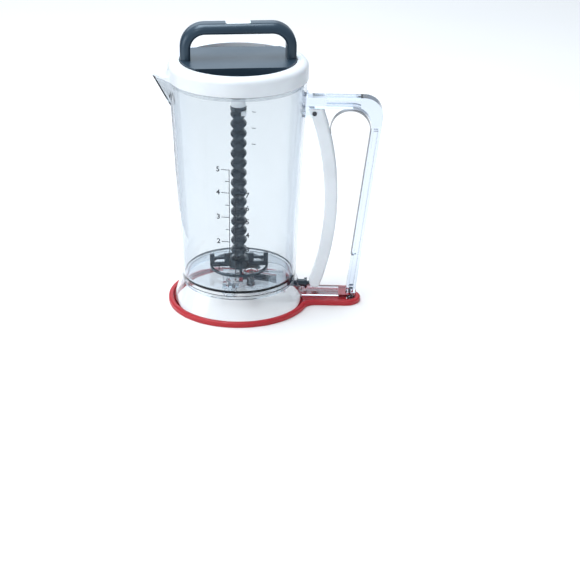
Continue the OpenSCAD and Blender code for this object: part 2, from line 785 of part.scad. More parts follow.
module drive_spindle() color(white_tint) rotate([0, 0, arch_turn]) {
    translate([0, 0, spindle_low_z]) cylinder(h = hub_low_z - spindle_low_z, r = hub_r + 0.3);
    translate([0, 0, hub_low_z]) cylinder(h = bore_h - 0.5, r = bore_r);
    translate([0, 0, socket_z + 1]) cylinder(h = spindle_low_z - socket_z - 1, r = socket_r - 0.05);
    translate([2, -5.9, window_z + 0.1]) cube([4.4, 10.4, window_h - 0.2]);
}
window_h = 4.3;
window_z = spindle_low_z - rod_flange_t - window_h - 0.2;

// The square section of the mixing rod, with its corners taken off
module rod_section() {
    intersection() {
        square(rod_r * 1.46, center = true);
        circle(rod_r, $fn = 24);
    }
}

module mixing_rod() color(slate_tint) rotate([0, 0, arch_turn]) {
    length = spindle_low_z - rod_flange_t - rod_low_z;
    difference() {
        union() {
            translate([0, 0, rod_low_z]) linear_extrude(height = length + 1,
                twist = 360 * (length + 1) / rod_lead, slices = 110, $fn = 16) rod_section();
            translate([0, 0, spindle_low_z - rod_flange_t]) cylinder(h = rod_flange_t, r = rod_r);
        }
        translate([0, 0, socket_z]) cylinder(h = 40, r = socket_r);
        translate([1.9, -10, window_z]) cube([10, 20, window_h]);
    }
}

module mixing_paddle() color(slate_tint) rotate([0, 0, arch_turn]) {
    low_z = floor_top_z + 3;
    blade_h = 12;
    hub = rod_r + 2;
    difference() {
        union() {
            translate([0, 0, low_z]) cylinder(h = 8, r = hub);
            for (a = [0 : 90 : 270]) rotate([0, 0, a]) translate([hub - 1, -1, low_z])
                cube([paddle_r - hub + 1, 2, blade_h]);
            translate([0, 0, low_z]) tube(paddle_r, paddle_r - 2, 2);
        }
        translate([0, 0, rod_low_z]) cylinder(h = 40, r = rod_r + 0.05);
        for (a = [0 : 90 : 270]) rotate([0, 0, a]) translate([hub + 4, -5, low_z + 4])
            cube([paddle_r - hub - 8, 10, 3]);
        for (a = [0 : 90 : 270]) rotate([0, 0, a]) translate([hub + 4, -5, low_z + 9])
            cube([paddle_r - hub - 8, 10, 3]);
    }
}

jug_body();
jug_handle();
base_skirt();
foot_ring();
pivot_pin();
return_spring();
valve_housing();
valve_gasket();
gland_cap();
stem_seal();
housing_screws();
handle_screw();
lid_ring();
lid_gasket();
mixer_handle();
handle_inlay();
hub_clip();
drive_spindle();
mixing_rod();
mixing_paddle();
trigger_lever();
valve_stem();
valve_plug();
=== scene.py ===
"""Looks of the batter dispenser.

It is a clear jug on a red foot ring, with a white lid and squeeze lever, and a slate arch handle
that turns a ridged mixing rod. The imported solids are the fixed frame. This script gives them
their finishes, adds the soft-edged foot ring, the ridged rod and the printed scales, and sets up
the pale studio that they stand in. Lengths are in metres; MM turns millimetres into them.
"""

import math

import bmesh
import bpy
from bpy.props import FloatProperty, FloatVectorProperty, PointerProperty
from mathutils import Matrix, Vector


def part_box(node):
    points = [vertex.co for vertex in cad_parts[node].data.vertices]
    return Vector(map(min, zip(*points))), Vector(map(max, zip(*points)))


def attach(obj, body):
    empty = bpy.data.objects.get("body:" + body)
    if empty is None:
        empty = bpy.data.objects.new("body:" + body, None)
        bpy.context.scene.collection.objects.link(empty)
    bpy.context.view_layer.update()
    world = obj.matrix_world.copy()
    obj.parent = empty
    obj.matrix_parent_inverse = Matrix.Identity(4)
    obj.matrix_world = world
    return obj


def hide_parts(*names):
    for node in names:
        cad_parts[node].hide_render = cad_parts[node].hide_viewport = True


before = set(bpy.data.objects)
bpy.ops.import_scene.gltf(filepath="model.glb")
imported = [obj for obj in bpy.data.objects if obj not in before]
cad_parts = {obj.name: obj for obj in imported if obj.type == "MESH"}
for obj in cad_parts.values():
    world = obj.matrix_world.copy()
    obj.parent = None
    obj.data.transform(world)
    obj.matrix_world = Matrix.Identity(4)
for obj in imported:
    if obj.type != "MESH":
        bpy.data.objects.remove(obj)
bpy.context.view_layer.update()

bl_info = {
    "name": "Batter Dispenser Looks",
    "version": (1, 0, 0),
    "blender": (4, 5, 0),
    "location": "View3D > Sidebar > Dispenser",
    "description": "Finishes, foot ring, mixing rod, printed scales and studio of the dispenser",
    "category": "Object",
}

MM = 0.001


# ---------------------------------------------------------------- settings

class DispenserColours(bpy.types.PropertyGroup):
    """Colours of the dispenser's materials."""

    clear: FloatVectorProperty(
        name="Clear jug", description="Tint of the jug's wall",
        subtype="COLOR", size=4, min=0, max=1, default=(0.800, 0.822, 0.835, 1))
    clear_base: FloatVectorProperty(
        name="Clear base", description="Tint of the base skirt and the valve's housing",
        subtype="COLOR", size=4, min=0, max=1, default=(0.94, 0.962, 0.978, 1))
    clear_thick: FloatVectorProperty(
        name="Clear handle", description="Tint of the handle",
        subtype="COLOR", size=4, min=0, max=1, default=(0.73, 0.785, 0.87, 1))
    # The edge tints darken the clear plastic seen edge-on: partly the deeper colour of a longer
    # path through it, partly painted dark reflection.
    wall_edge: FloatVectorProperty(
        name="Wall edges", description="Tint of the wall and base where they are seen edge-on",
        subtype="COLOR", size=4, min=0, max=1, default=(0.62, 0.68, 0.77, 1))
    thick_edge: FloatVectorProperty(
        name="Handle edges", description="Tint of the handle where it is seen edge-on",
        subtype="COLOR", size=4, min=0, max=1, default=(0.32, 0.38, 0.48, 1))
    white: FloatVectorProperty(
        name="White plastic", description="Lid, lever and drive spindle",
        subtype="COLOR", size=4, min=0, max=1, default=(0.735, 0.775, 0.81, 1))
    slate: FloatVectorProperty(
        name="Slate plastic", description="Arch handle and its disc",
        subtype="COLOR", size=4, min=0, max=1, default=(0.021, 0.039, 0.060, 1))
    # A darker copy of the arch's slate for the parts inside the jug; the extra darkness is painted
    # shade.
    dark_slate: FloatVectorProperty(
        name="Dark slate plastic", description="Mixing rod, paddle and valve stem",
        subtype="COLOR", size=4, min=0, max=1, default=(0.010, 0.018, 0.029, 1))
    red: FloatVectorProperty(
        name="Red silicone", description="Foot ring and valve seals",
        subtype="COLOR", size=4, min=0, max=1, default=(0.46, 0.012, 0.022, 1))
    steel: FloatVectorProperty(
        name="Steel", description="Spring, clip and screws",
        subtype="COLOR", size=4, min=0, max=1, default=(0.40, 0.40, 0.41, 1))
    # The pin's steel is painted nearly black: a painted dark reflection of the surroundings on the
    # pin's end.
    pin_steel: FloatVectorProperty(
        name="Pin steel", description="Darkened steel of the lever's pin",
        subtype="COLOR", size=4, min=0, max=1, default=(0.07, 0.075, 0.085, 1))
    ink: FloatVectorProperty(
        name="Scale ink", description="Printed lines and numbers on the jug",
        subtype="COLOR", size=4, min=0, max=1, default=(0.012, 0.013, 0.016, 1))


class DispenserSizes(bpy.types.PropertyGroup):
    """Sizes of the pieces that are added to the solids."""

    line_width: FloatProperty(
        name="Scale line", description="Width of the printed lines",
        subtype="DISTANCE", unit="LENGTH", default=0.58 * MM, min=0.2 * MM, max=1.5 * MM)
    digit_height: FloatProperty(
        name="Number height", description="Height of the printed numbers",
        subtype="DISTANCE", unit="LENGTH", default=4.6 * MM, min=2 * MM, max=10 * MM)
    ring_round: FloatProperty(
        name="Ring rounding", description="Radius of the foot ring's outer top edge",
        subtype="DISTANCE", unit="LENGTH", default=1.5 * MM, min=0.2 * MM, max=2 * MM)
    tooth_pitch: FloatProperty(
        name="Rod tooth pitch", description="Height from one tooth of the mixing rod to the next",
        subtype="DISTANCE", unit="LENGTH", default=9.05 * MM, min=5 * MM, max=20 * MM)
    tooth_depth: FloatProperty(
        name="Rod tooth depth", description="Depth of the hollows between the rod's ridges",
        subtype="DISTANCE", unit="LENGTH", default=2.3 * MM, min=0.5 * MM, max=3 * MM)


class DispenserStage(bpy.types.PropertyGroup):
    """Floor, lights and camera."""

    floor_size: FloatProperty(
        name="Floor size", description="Side of the square floor",
        subtype="DISTANCE", unit="LENGTH", default=14.0, min=1, max=40)
    sky: FloatProperty(
        name="Sky", description="Strength of the even studio light",
        default=0.55, min=0, max=5)
    top_light: FloatProperty(
        name="Top light", description="Power of the softbox over the lid",
        subtype="POWER", default=16.0, min=0, max=500)
    back_light: FloatProperty(
        name="Back light", description="Power of the wide softbox behind the jug",
        subtype="POWER", default=5.0, min=0, max=500)
    key_light: FloatProperty(
        name="Key light", description="Power of the softbox on the spout's side",
        subtype="POWER", default=6.0, min=0, max=500)
    front_light: FloatProperty(
        name="Front light", description="Power of the small softbox high up in front",
        subtype="POWER", default=3.0, min=0, max=500)
    lens: FloatProperty(
        name="Lens", description="Focal length of the camera in millimetres",
        default=98.557, min=20, max=300)


# ---------------------------------------------------------------- shader helpers

NOISE_LOW, NOISE_HIGH = 0.3, 0.7  # most of a noise factor lies between these two


def new_material(name):
    """A node material with a fresh Principled shader; gives (material, tree, shader)."""
    material = bpy.data.materials.new(name)
    material.use_nodes = True
    tree = material.node_tree
    tree.nodes.clear()
    output = tree.nodes.new("ShaderNodeOutputMaterial")
    shader = tree.nodes.new("ShaderNodeBsdfPrincipled")
    tree.links.new(shader.outputs["BSDF"], output.inputs["Surface"])
    return material, tree, shader


def object_noise(tree, scale, detail=3.0, roughness=0.55, stretch=(1, 1, 1)):
    """Noise in the object's own coordinates, stretched per axis; gives its factor socket."""
    coords = tree.nodes.new("ShaderNodeTexCoord")
    mapping = tree.nodes.new("ShaderNodeMapping")
    noise = tree.nodes.new("ShaderNodeTexNoise")
    mapping.inputs["Scale"].default_value = stretch
    noise.inputs["Scale"].default_value = scale
    noise.inputs["Detail"].default_value = detail
    noise.inputs["Roughness"].default_value = roughness
    tree.links.new(coords.outputs["Object"], mapping.inputs["Vector"])
    tree.links.new(mapping.outputs["Vector"], noise.inputs["Vector"])
    return noise.outputs["Fac"]


def spread(tree, socket, low, high):
    """Spreads a noise factor over the range from low to high."""
    ramp = tree.nodes.new("ShaderNodeMapRange")
    ramp.inputs["From Min"].default_value = NOISE_LOW
    ramp.inputs["From Max"].default_value = NOISE_HIGH
    ramp.inputs["To Min"].default_value = low
    ramp.inputs["To Max"].default_value = high
    tree.links.new(socket, ramp.inputs["Value"])
    return ramp.outputs["Result"]


def shade_between(tree, socket, dark, light):
    """Colour that runs between two shades with a noise factor."""
    mix = tree.nodes.new("ShaderNodeMix")
    mix.data_type = "RGBA"
    mix.inputs["A"].default_value = dark
    mix.inputs["B"].default_value = light
    tree.links.new(spread(tree, socket, 0, 1), mix.inputs["Factor"])
    return mix.outputs["Result"]


def bumps(tree, shader, layers):
    """Chains bump nodes: layers of (height socket, distance in metres, strength)."""
    normal = None
    for height, distance, strength in layers:
        bump = tree.nodes.new("ShaderNodeBump")
        bump.inputs["Distance"].default_value = distance
        bump.inputs["Strength"].default_value = strength
        tree.links.new(height, bump.inputs["Height"])
        if normal is not None:
            tree.links.new(normal, bump.inputs["Normal"])
        normal = bump.outputs["Normal"]
    tree.links.new(normal, shader.inputs["Normal"])


def scaled(colour, factor):
    """The colour made darker or lighter, fully opaque."""
    return (*[min(1.0, c * factor) for c in colour[:3]], 1.0)


# ---------------------------------------------------------------- finishes

PLASTIC_IOR = 1.49
SILICONE_IOR = 1.41
CLEAR_GLOSS = (0.34, 0.40, 0.46, 1)
SLATE_GLOSS = (0.72, 0.88, 1.0, 1)
PASSING_TINT = (0.99, 0.99, 0.99, 1)
EDGE_START = 0.30  # how far a clear wall turns away before its edge tint sets in, partly the deeper colour of a longer path and partly painted dark reflection
FLOW_SHADE = 0.985  # darkest streak of clear plastic
CLEAR_ROUGHNESS = (0.010, 0.035)
SILICONE_CLARITY = 0.85
SILICONE_DARK, SILICONE_LIGHT = (0.86, 0.88, 0.90, 1), (0.93, 0.95, 0.96, 1)
SILICONE_ROUGHNESS = (0.10, 0.18)
RUBBER_BLACK = (0.012, 0.012, 0.013, 1)
COAT_ROUGHNESS = 0.12
SCATTER_DEPTH = 4 * MM
SHADE_LOW, SHADE_HIGH = 0.93, 1.04  # darkest and lightest patches of moulded plastic
SATIN_SPREAD = 0.035  # change of its roughness, up and down
TARNISH_SHADE = 0.8  # darkest patch of the steel
STEEL_ROUGHNESS = (0.20, 0.36)
WORN_INK_SHADE = 2.2  # palest spot of the ink
INK_ROUGHNESS = (0.42, 0.6)
WELD_REACH = 0.001 * MM
SOLID_SPLIT = 32  # degrees between two faces of a solid from which the edge stays sharp


def let_light_through(tree, shader, tint):
    """Lets lamp light and bounced light pass the clear plastic, so what it covers isn't dark."""
    output = next(node for node in tree.nodes if node.type == "OUTPUT_MATERIAL")
    path = tree.nodes.new("ShaderNodeLightPath")
    either = tree.nodes.new("ShaderNodeMath")
    either.operation = "MAXIMUM"
    passing = tree.nodes.new("ShaderNodeBsdfTransparent")
    passing.inputs["Color"].default_value = tint
    mix = tree.nodes.new("ShaderNodeMixShader")
    tree.links.new(path.outputs["Is Shadow Ray"], either.inputs[0])
    tree.links.new(path.outputs["Is Diffuse Ray"], either.inputs[1])
    tree.links.new(either.outputs["Value"], mix.inputs["Fac"])
    tree.links.new(shader.outputs["BSDF"], mix.inputs[1])
    tree.links.new(passing.outputs["BSDF"], mix.inputs[2])
    tree.links.new(mix.outputs["Shader"], output.inputs["Surface"])


def clear_plastic(name, tint, edge_depth_and_reflection):
    """Moulded clear plastic with faint haze and scuffs, deeper in colour edge-on: partly the
    longer path through the plastic, partly a painted dark reflection.
    """
    material, tree, shader = new_material(name)
    shader.inputs["Transmission Weight"].default_value = 1.0
    shader.inputs["IOR"].default_value = PLASTIC_IOR
    shader.inputs["Specular Tint"].default_value = CLEAR_GLOSS
    flow = object_noise(tree, scale=14, detail=2, roughness=0.5, stretch=(1, 1, 0.35))
    haze = object_noise(tree, scale=260, detail=4, roughness=0.6)
    scuff = object_noise(tree, scale=900, detail=2, roughness=0.7, stretch=(1, 1, 0.05))
    # Edge-on darkening: partly the longer path through the plastic, partly painted dark reflection
    # of the surroundings.
    facing = tree.nodes.new("ShaderNodeLayerWeight")
    grazing = tree.nodes.new("ShaderNodeMapRange")
    grazing.inputs["From Min"].default_value = EDGE_START
    tree.links.new(facing.outputs["Facing"], grazing.inputs["Value"])
    deepen = tree.nodes.new("ShaderNodeMix")
    deepen.data_type = "RGBA"
    deepen.inputs["B"].default_value = edge_depth_and_reflection
    tree.links.new(grazing.outputs["Result"], deepen.inputs["Factor"])
    tree.links.new(shade_between(tree, flow, scaled(tint, FLOW_SHADE), tint), deepen.inputs["A"])
    tree.links.new(deepen.outputs["Result"], shader.inputs["Base Color"])
    tree.links.new(spread(tree, haze, *CLEAR_ROUGHNESS), shader.inputs["Roughness"])
    bumps(tree, shader, [(flow, 0.6 * MM, 0.10), (scuff, 0.02 * MM, 0.05)])
    let_light_through(tree, shader, PASSING_TINT)
    return material


def clear_silicone():
    """Milky see-through silicone of the lid's seal."""
    material, tree, shader = new_material("Clear silicone")
    shader.inputs["Transmission Weight"].default_value = SILICONE_CLARITY
    shader.inputs["IOR"].default_value = SILICONE_IOR
    cloud = object_noise(tree, scale=120)
    tree.links.new(shade_between(tree, cloud, SILICONE_DARK, SILICONE_LIGHT),
                   shader.inputs["Base Color"])
    tree.links.new(spread(tree, cloud, *SILICONE_ROUGHNESS), shader.inputs["Roughness"])
    bumps(tree, shader, [(cloud, 0.1 * MM, 0.15)])
    return material


def moulded(name, colour, rough, grain=0.03 * MM, coat=0.0, subsurface=0.0,
            gloss=(1, 1, 1, 1)):
    """Opaque moulded plastic or silicone with a fine satin grain and slow shade changes."""
    material, tree, shader = new_material(name)
    shader.inputs["Specular Tint"].default_value = gloss
    shader.inputs["Coat Weight"].default_value = coat
    shader.inputs["Coat Roughness"].default_value = COAT_ROUGHNESS
    shader.inputs["Subsurface Weight"].default_value = subsurface
    shader.inputs["Subsurface Scale"].default_value = SCATTER_DEPTH
    slow = object_noise(tree, scale=26)
    fine = object_noise(tree, scale=1500, roughness=0.65)
    shades = shade_between(tree, slow, scaled(colour, SHADE_LOW), scaled(colour, SHADE_HIGH))
    tree.links.new(shades, shader.inputs["Base Color"])
    tree.links.new(spread(tree, slow, rough - SATIN_SPREAD, rough + SATIN_SPREAD),
                   shader.inputs["Roughness"])
    bumps(tree, shader, [(slow, 0.4 * MM, 0.06), (fine, grain, 0.25)])
    return material


def drawn_steel(name, colour):
    """Drawn steel strip and wire: fine lines along the length and a little tarnish."""
    material, tree, shader = new_material(name)
    shader.inputs["Metallic"].default_value = 1.0
    lines = object_noise(tree, scale=2200, detail=2, roughness=0.6, stretch=(1, 1, 0.03))
    tarnish = object_noise(tree, scale=90, detail=4)
    shades = shade_between(tree, tarnish, scaled(colour, TARNISH_SHADE), tuple(colour))
    tree.links.new(shades, shader.inputs["Base Color"])
    tree.links.new(spread(tree, lines, *STEEL_ROUGHNESS), shader.inputs["Roughness"])
    bumps(tree, shader, [(lines, 0.02 * MM, 0.35)])
    return material


def scale_ink(colour):
    """Screen-printed ink, slightly uneven in shade and grain."""
    material, tree, shader = new_material("Scale ink")
    grain = object_noise(tree, scale=1800, roughness=0.7)
    shades = shade_between(tree, grain, tuple(colour), scaled(colour, WORN_INK_SHADE))
    tree.links.new(shades, shader.inputs["Base Color"])
    tree.links.new(spread(tree, grain, *INK_ROUGHNESS), shader.inputs["Roughness"])
    bumps(tree, shader, [(grain, 0.02 * MM, 0.3)])
    return material


# ---------------------------------------------------------------- pieces

def dress(node, material):
    """Gives a CAD node its finish, with smooth shading over its curves and sharp edges kept."""
    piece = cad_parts[node]
    piece.data.materials.clear()
    piece.data.materials.append(material)
    for polygon in piece.data.polygons:
        polygon.use_smooth = True
    weld = piece.modifiers.new("Weld", "WELD")
    weld.merge_threshold = WELD_REACH
    split = piece.modifiers.new("Edge split", "EDGE_SPLIT")
    split.split_angle = math.radians(SOLID_SPLIT)
    split.use_edge_sharp = False


def smooth_mesh(mesh, angle):
    """Smooth shading on an added piece, with edges above the angle in degrees kept sharp."""
    for polygon in mesh.polygons:
        polygon.use_smooth = True
    mesh.set_sharp_from_angle(angle=math.radians(angle))


def add_piece(name, bm, material, body):
    """Turns a bmesh into a piece that rides on a body and has a finish."""
    mesh = bpy.data.meshes.new(name)
    bmesh.ops.recalc_face_normals(bm, faces=bm.faces)
    bm.to_mesh(mesh)
    bm.free()
    piece = bpy.data.objects.new(name, mesh)
    bpy.context.scene.collection.objects.link(piece)
    mesh.materials.append(material)
    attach(piece, body)
    return piece


# ---------------------------------------------------------------- foot ring

RING_LOW, RING_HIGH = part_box("foot_ring")
RING_RADIUS = -RING_LOW.x
ARM_HALF = 13.8 * MM
ARM_FILLET = 10 * MM
ARM_END = RING_HIGH.x - ARM_HALF
PAD_WIDTH = 7 * MM
PAD_HEIGHT = 1.2 * MM
FOOT_ROUND = 0.7 * MM  # radius of the outer bottom edge
GROOVE_IN = 1.9 * MM  # groove that holds the skirt's flange, in from the outer edge
GROOVE_TOP = 3.1 * MM
LIP_IN = 3.8 * MM  # inner edge of the lip over the flange
LIP_ROUND = 0.4 * MM
DISC_POINTS, FILLET_POINTS, SIDE_POINTS, END_POINTS = 150, 12, 6, 28  # along the outline
PAD_POINTS = 12
EDGE_STEPS, LIP_STEPS = 6, 4  # round the section's corners
RING_SHARP = 40


def ring_path():
    """Points along the ring's outer edge with their inward directions, one closed loop."""
    mid_y = ARM_HALF + ARM_FILLET
    mid_x = math.sqrt((RING_RADIUS + ARM_FILLET) ** 2 - mid_y ** 2)
    turn = math.atan2(mid_y, mid_x)
    path = []

    def arc(cx, cy, radius, start, end, count, inward):
        for i in range(count):
            a = start + (end - start) * i / count
            path.append(((cx + radius * math.cos(a), cy + radius * math.sin(a)),
                         (inward * math.cos(a), inward * math.sin(a))))

    def side(start, end, y, inward):
        for i in range(SIDE_POINTS):
            path.append(((start + (end - start) * i / SIDE_POINTS, y), (0, inward)))

    arc(0, 0, RING_RADIUS, turn, 2 * math.pi - turn, DISC_POINTS, -1)
    arc(mid_x, -mid_y, ARM_FILLET, math.pi - turn, math.pi / 2, FILLET_POINTS, 1)
    side(mid_x, ARM_END, -ARM_HALF, 1)
    arc(ARM_END, 0, ARM_HALF, -math.pi / 2, math.pi / 2, END_POINTS, -1)
    side(ARM_END, mid_x, ARM_HALF, -1)
    arc(mid_x, mid_y, ARM_FILLET, 1.5 * math.pi, math.pi + turn, FILLET_POINTS, 1)
    return path


def corner(centre_in, centre_z, radius, start, steps):
    """A quarter circle of the section, from a start angle in degrees."""
    turns = [math.radians(start + 90 * i / steps) for i in range(steps + 1)]
    return [(centre_in + radius * math.cos(a), centre_z + radius * math.sin(a)) for a in turns]


def ring_section(rounding):
    """The section as (distance in from the outer edge, height): edges, pad, groove and lip."""
    height = RING_HIGH.z
    return (corner(rounding, height - rounding, rounding, 90, EDGE_STEPS)
            + corner(FOOT_ROUND, FOOT_ROUND, FOOT_ROUND, 180, LIP_STEPS)
            + [(PAD_WIDTH, 0), (PAD_WIDTH, PAD_HEIGHT), (GROOVE_IN, PAD_HEIGHT),
               (GROOVE_IN, GROOVE_TOP), (LIP_IN, GROOVE_TOP)]
            + corner(LIP_IN - LIP_ROUND, height - LIP_ROUND, LIP_ROUND, 0, LIP_STEPS))


def close_arm_pad(bm):
    """Fills the pad under the bar, from the open disc out to the end of the arm."""
    outline = [(p[0] + n[0] * PAD_WIDTH, p[1] + n[1] * PAD_WIDTH)
               for p, n in ring_path()[DISC_POINTS:]]
    radius = RING_RADIUS - PAD_WIDTH
    turn = math.atan2(outline[0][1], outline[0][0])
    for i in range(PAD_POINTS):
        a = -turn + 2 * turn * i / PAD_POINTS
        outline.append((radius * math.cos(a), radius * math.sin(a)))
    low = [bm.verts.new((x, y, 0)) for x, y in outline]
    high = [bm.verts.new((x, y, PAD_HEIGHT)) for x, y in outline]
    bm.faces.new(low)
    bm.faces.new(high)
    for i in range(len(outline)):
        j = (i + 1) % len(outline)
        bm.faces.new((low[i], low[j], high[j], high[i]))


class DISPENSER_OT_foot_ring(bpy.types.Operator):
    """Sweeps the soft-edged red foot ring along the base's keyhole outline"""

    bl_idname = "dispenser.foot_ring"
    bl_label = "Foot ring"

    def execute(self, context):
        scene = context.scene
        red = moulded("Red silicone", scene.dispenser_colours.red, rough=0.42,
                      grain=0.04 * MM, subsurface=0.12)
        section = ring_section(scene.dispenser_sizes.ring_round)
        bm = bmesh.new()
        rows = [[bm.verts.new((p[0] + n[0] * d, p[1] + n[1] * d, z)) for d, z in section]
                for p, n in ring_path()]
        close_arm_pad(bm)
        for i, row in enumerate(rows):
            after = rows[(i + 1) % len(rows)]
            for j in range(len(row)):
                k = (j + 1) % len(row)
                bm.faces.new((row[j], row[k], after[k], after[j]))
        ring = add_piece("foot_ring_soft", bm, red, "jug")
        smooth_mesh(ring.data, RING_SHARP)
        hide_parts("foot_ring")
        for node in ("valve_gasket", "valve_plug"):
            dress(node, red)
        return {"FINISHED"}


# ---------------------------------------------------------------- mixing rod

ROD_LOW, ROD_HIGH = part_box("mixing_rod")
ROD_RADIUS = ROD_HIGH.x
ROD_CHAMFER = 0.4 * MM
ROD_TURN = math.radians(7)  # the window's turn from the plane of the handle
PLATE_Z = ROD_HIGH.z - 3.1 * MM  # underside of the plain plate on the rod's top
PLATE_STEP = 0.02 * MM  # height of the step from the ridges out to the plate
WINDOW_Z = (PLATE_Z - 4.5 * MM, PLATE_Z - 0.2 * MM)
WINDOW_X = 1.9 * MM  # flat back of the window, out from the axis
WINDOW_REACH = 10 * MM  # half the cutter's width and depth
SOCKET_Z = ROD_HIGH.z - 14 * MM
SOCKET_RADIUS = 4 * MM
SOCKET_SIDES = 40
SOCKET_OVERCUT = 1 * MM
TOOTH_HEIGHT = 157 * MM  # height of one crossing of the ridges
TOOTH_STEPS = 16  # rows of points to a tooth, and half the points round the rod
ROD_SHARP = 28


def around(radius, angle, z):
    """The point at a radius and an angle round the upright axis, at height z."""
    return (radius * math.cos(angle), radius * math.sin(angle), z)


def rod_point(angle, z, pitch, depth):
    """A point on the rod, whose sharp ridges climb both ways round it and cross each other."""
    climb = math.pi * (z - TOOTH_HEIGHT) / pitch
    ridge = 1 - min(abs(math.sin(angle + climb)), abs(math.sin(angle - climb)))
    return around(ROD_RADIUS - depth * (1 - ridge), angle, z)


def rod_mesh(pitch, depth):
    """The ridged rod with the plain plate on its top, closed at both ends."""
    bm = bmesh.new()
    columns = 2 * TOOTH_STEPS
    angles = [2 * math.pi * i / columns for i in range(columns)]
    step = pitch / TOOTH_STEPS
    first = math.ceil((ROD_LOW.z - TOOTH_HEIGHT) / step)
    last = math.floor((PLATE_Z - TOOTH_HEIGHT) / step)
    heights = [TOOTH_HEIGHT + k * step for k in range(first + 1, last)]
    heights = [ROD_LOW.z, *heights, PLATE_Z]
    plate = ((ROD_RADIUS, PLATE_Z + PLATE_STEP), (ROD_RADIUS, ROD_HIGH.z - ROD_CHAMFER),
             (ROD_RADIUS - ROD_CHAMFER, ROD_HIGH.z))
    rows = [[bm.verts.new(rod_point(a, z, pitch, depth)) for a in angles] for z in heights]
    rows += [[bm.verts.new(around(radius, a, z)) for a in angles] for radius, z in plate]
    for low, high in zip(rows, rows[1:]):
        for i in range(columns):
            j = (i + 1) % columns
            a, b, c, d = low[i], low[j], high[j], high[i]
            # Each square is split along its higher diagonal, so a ridge has no notches
            if a.co.xy.length + c.co.xy.length > b.co.xy.length + d.co.xy.length:
                bm.faces.new((a, b, c))
                bm.faces.new((a, c, d))
            else:
                bm.faces.new((a, b, d))
                bm.faces.new((b, c, d))
    bm.faces.new(rows[0][::-1])
    bm.faces.new(rows[-1])
    return bm


def carve(piece, cutter_mesh):
    """Cuts a closed shape out of a piece and keeps the result as the piece's mesh."""
    mesh = bpy.data.meshes.new("cutter")
    cutter_mesh.to_mesh(mesh)
    cutter_mesh.free()
    cutter = bpy.data.objects.new("cutter", mesh)
    bpy.context.scene.collection.objects.link(cutter)
    cut = piece.modifiers.new("Cut", "BOOLEAN")
    cut.operation = "DIFFERENCE"
    cut.solver = "EXACT"
    cut.object = cutter
    bpy.context.view_layer.update()
    shown = piece.evaluated_get(bpy.context.evaluated_depsgraph_get())
    carved = bpy.data.meshes.new_from_object(shown)
    if not carved.polygons:
        raise RuntimeError("Nothing is left of " + piece.name + " after the cut")
    piece.modifiers.clear()
    whole = piece.data
    piece.data = carved
    bpy.data.meshes.remove(whole)
    bpy.data.objects.remove(cutter)
    bpy.data.meshes.remove(mesh)


def window_cutter():
    """The box that opens the rod's side for the spindle's catch."""
    window = bmesh.new()
    middle = Vector((WINDOW_X + WINDOW_REACH, 0, sum(WINDOW_Z) / 2))
    size = Matrix.Diagonal((2 * WINDOW_REACH, 2 * WINDOW_REACH, WINDOW_Z[1] - WINDOW_Z[0], 1))
    place = Matrix.Rotation(ROD_TURN, 4, "Z") @ Matrix.Translation(middle)
    bmesh.ops.create_cube(window, size=1, matrix=place @ size)
    return window


def socket_cutter():
    """The round bar that opens the rod's top for the spindle."""
    socket = bmesh.new()
    length = ROD_HIGH.z - SOCKET_Z + SOCKET_OVERCUT
    place = Matrix.Translation((0, 0, SOCKET_Z + length / 2))
    bmesh.ops.create_cone(socket, cap_ends=True, segments=SOCKET_SIDES, radius1=SOCKET_RADIUS,
                          radius2=SOCKET_RADIUS, depth=length, matrix=place)
    return socket


class DISPENSER_OT_mixing_rod(bpy.types.Operator):
    """Builds the mixing rod with its crossing ridges, its socket and the catch's window"""

    bl_idname = "dispenser.mixing_rod"
    bl_label = "Mixing rod"

    def execute(self, context):
        sizes = context.scene.dispenser_sizes
        # The rod, paddle and stem take the slate's darker copy, painted shade inside the jug.
        slate = moulded("Dark slate plastic", context.scene.dispenser_colours.dark_slate,
                        rough=0.16, coat=0.4, gloss=SLATE_GLOSS)
        bm = rod_mesh(sizes.tooth_pitch, sizes.tooth_depth)
        rod = add_piece("mixing_rod_ridged", bm, slate, "mixer")
        carve(rod, window_cutter())
        carve(rod, socket_cutter())
        smooth_mesh(rod.data, ROD_SHARP)
        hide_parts("mixing_rod")
        for node in ("mixing_paddle", "valve_stem"):
            dress(node, slate)
        return {"FINISHED"}


# ---------------------------------------------------------------- finishes of the solids

class DISPENSER_OT_clear_parts(bpy.types.Operator):
    """Gives the jug, handle, skirt and valve housing clear plastic, and the lid's seal silicone"""

    bl_idname = "dispenser.clear_parts"
    bl_label = "Clear jug parts"

    def execute(self, context):
        colours = context.scene.dispenser_colours
        # The edge tints are partly the deeper colour of a longer path and partly painted dark
        # reflection.
        wall_edge = tuple(colours.wall_edge)
        dress("jug_body", clear_plastic("Clear jug plastic", tuple(colours.clear), wall_edge))
        dress("jug_handle", clear_plastic("Clear handle plastic", tuple(colours.clear_thick),
                                          tuple(colours.thick_edge)))
        base = clear_plastic("Clear base plastic", tuple(colours.clear_base), wall_edge)
        for node in ("base_skirt", "valve_housing"):
            dress(node, base)
        dress("lid_gasket", clear_silicone())
        return {"FINISHED"}


class DISPENSER_OT_white_parts(bpy.types.Operator):
    """Gives the lid, lever, spindle, gland cap and inlay their white plastic"""

    bl_idname = "dispenser.white_parts"
    bl_label = "Lid and lever"

    def execute(self, context):
        white = moulded("White plastic", context.scene.dispenser_colours.white, rough=0.33,
                        grain=0.02 * MM, coat=0.15, subsurface=0.05)
        for node in ("lid_ring", "trigger_lever", "drive_spindle", "gland_cap", "handle_inlay"):
            dress(node, white)
        return {"FINISHED"}


